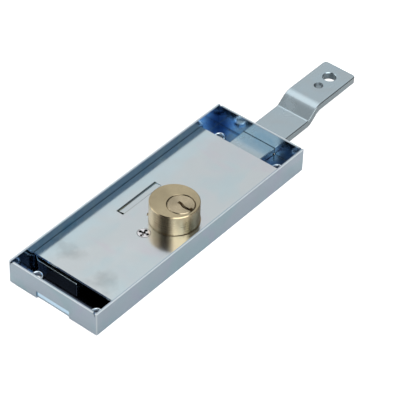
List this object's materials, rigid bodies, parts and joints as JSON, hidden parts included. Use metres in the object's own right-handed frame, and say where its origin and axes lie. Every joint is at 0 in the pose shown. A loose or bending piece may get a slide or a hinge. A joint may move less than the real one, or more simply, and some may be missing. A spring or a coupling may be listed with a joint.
{
  "type": "roller shutter lock",
  "caption": "Lateral roller shutter lock: open zinc plated sheet case, cover plate, off-centre round key cylinder and a stepped locking bar with an eye.",
  "frame": {"origin": "centre of the case's flat back face", "axes": "+X across the case towards its long wall on the cylinder's side, +Y along it towards the bar's eye, +Z out of its open face"},
  "size_m": [0.055, 0.2223, 0.02],
  "materials": {
    "zinc_sheet": "bright zinc plated",
    "zinc_bar": "satin zinc plated",
    "steel": "turned steel",
    "screw_steel": "zinc plated",
    "brass": "satin nickel on brass",
    "plug_brass": "turned brass"
  },
  "bodies": {
    "lock_case": {"case": "zinc_sheet", "cover_plate": "zinc_sheet", "cover_screw": "screw_steel", "cylinder_body": "brass", "chamber_caps": "brass", "idler_stud": "steel", "guide_stud": "steel", "screw_pillar": "steel", "cover_posts": "steel", "cylinder_posts": "steel", "pin_spring_1": "steel", "pin_spring_2": "steel", "pin_spring_3": "steel", "pin_spring_4": "steel"},
    "plug": {"plug": "plug_brass", "plug_clip": "steel", "drive_pinion": "steel"},
    "idler": {"idler_gear": "steel"},
    "bar": {"lock_bar": "zinc_bar"},
    "key_pin_1": {"key_pin_1": "plug_brass"},
    "key_pin_2": {"key_pin_2": "plug_brass"},
    "key_pin_3": {"key_pin_3": "plug_brass"},
    "key_pin_4": {"key_pin_4": "plug_brass"},
    "driver_pin_1": {"driver_pin_1": "plug_brass"},
    "driver_pin_2": {"driver_pin_2": "plug_brass"},
    "driver_pin_3": {"driver_pin_3": "plug_brass"},
    "driver_pin_4": {"driver_pin_4": "plug_brass"}
  },
  "joints": [
    {"name": "plug_turn", "type": "hinge", "parent": "lock_case", "child": "plug", "pos_m": [0.0123, 0, 0.0125], "axis": [0, 0, 1], "range_deg": [0, 360]},
    {"name": "idler_turn", "type": "hinge", "parent": "lock_case", "child": "idler", "pos_m": [0.0039, 0, 0.0032], "axis": [0, 0, 1], "range_deg": [-327.3, 0]},
    {"name": "bar_slide", "type": "slide", "parent": "lock_case", "child": "bar", "axis": [0, 1, 0], "range_m": [0, 0.02513]},
    {"name": "key_pin_1_slide", "type": "slide", "parent": "plug", "child": "key_pin_1", "axis": [1, 0, 0], "range_m": [-0.00072, 0.00258]},
    {"name": "driver_pin_1_slide", "type": "slide", "parent": "lock_case", "child": "driver_pin_1", "axis": [1, 0, 0], "range_m": [-0.00072, 0.00258], "deforming": ["pin_spring_1"]},
    {"name": "key_pin_2_slide", "type": "slide", "parent": "plug", "child": "key_pin_2", "axis": [1, 0, 0], "range_m": [-0.00212, 0.00118]},
    {"name": "driver_pin_2_slide", "type": "slide", "parent": "lock_case", "child": "driver_pin_2", "axis": [1, 0, 0], "range_m": [-0.00212, 0.00118], "deforming": ["pin_spring_2"]},
    {"name": "key_pin_3_slide", "type": "slide", "parent": "plug", "child": "key_pin_3", "axis": [1, 0, 0], "range_m": [-0.00132, 0.00198]},
    {"name": "driver_pin_3_slide", "type": "slide", "parent": "lock_case", "child": "driver_pin_3", "axis": [1, 0, 0], "range_m": [-0.00132, 0.00198], "deforming": ["pin_spring_3"]},
    {"name": "key_pin_4_slide", "type": "slide", "parent": "plug", "child": "key_pin_4", "axis": [1, 0, 0], "range_m": [-0.00252, 0.00078]},
    {"name": "driver_pin_4_slide", "type": "slide", "parent": "lock_case", "child": "driver_pin_4", "axis": [1, 0, 0], "range_m": [-0.00252, 0.00078], "deforming": ["pin_spring_4"]}
  ],
  "couplings": [
    {"joint": "plug_turn", "follows": "bar_slide", "rad_per_m": 250},
    {"joint": "idler_turn", "follows": "bar_slide", "rad_per_m": -227.27},
    {"joint": "driver_pin_1_slide", "follows": "key_pin_1_slide", "ratio": 1},
    {"joint": "driver_pin_2_slide", "follows": "key_pin_2_slide", "ratio": 1},
    {"joint": "driver_pin_3_slide", "follows": "key_pin_3_slide", "ratio": 1},
    {"joint": "driver_pin_4_slide", "follows": "key_pin_4_slide", "ratio": 1}
  ]
}
